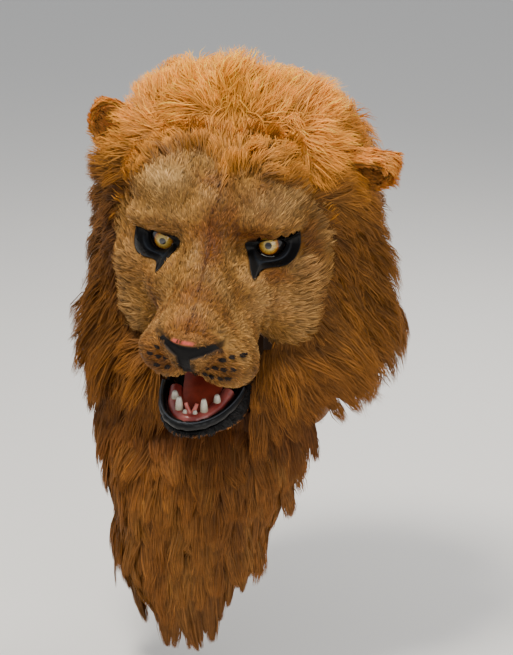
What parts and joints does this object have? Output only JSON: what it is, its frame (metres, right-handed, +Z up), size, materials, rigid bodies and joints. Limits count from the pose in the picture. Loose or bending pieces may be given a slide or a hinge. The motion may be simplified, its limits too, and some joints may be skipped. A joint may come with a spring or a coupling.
{
  "type": "lion mask",
  "caption": "Full-head mask of a snarling lion with a deep fur mane, cupped ears and a long fur bib, worn over the head.",
  "frame": {"origin": "middle of the crown's inside, where the mask sits on the wearer's head", "axes": "+Z up, -Y forward out of the face, +X towards the viewer's right"},
  "size_m": [0.3569, 0.4142, 0.6371],
  "materials": {
    "hood_cloth": "brown padded cloth",
    "short_fur": "short tan fur on a thin shell, airbrushed orange-brown round the muzzle and cheeks",
    "jaw_fur": "short orange-brown fur",
    "lip_rubber": "glossy black rubber",
    "gum_rubber": "wet-looking pink rubber",
    "ivory": "ivory-grey gloss",
    "throat_cloth": "brick-red satin rubber",
    "nose_rubber": "black satin rubber with a pink top",
    "lid_rubber": "black rubber, satin",
    "eye_gloss": "clear gloss over an olive-yellow iris",
    "ear_fur": "short golden fur",
    "mane_fur": "long orange-brown fur, sunlit gold on the crown",
    "bib_fur": "long dark brown fur with tan streaks"
  },
  "bodies": {
    "root": {"hood": "hood_cloth", "face": "short_fur", "jaw": "jaw_fur", "lower_lip": "lip_rubber", "lower_gum": "gum_rubber", "incisor_left": "ivory", "incisor_right": "ivory", "canine_left": "ivory", "canine_right": "ivory", "premolar_left": "ivory", "premolar_right": "ivory", "throat_panel": "throat_cloth", "nose": "nose_rubber", "eyelid_left": "lid_rubber", "eyelid_right": "lid_rubber", "eye_left": "eye_gloss", "eye_right": "eye_gloss", "ear_left": "ear_fur", "ear_right": "ear_fur", "mane_crown": "mane_fur", "mane_left": "mane_fur", "mane_right": "mane_fur", "mane_back": "mane_fur", "bib": "bib_fur"}
  },
  "joints": []
}
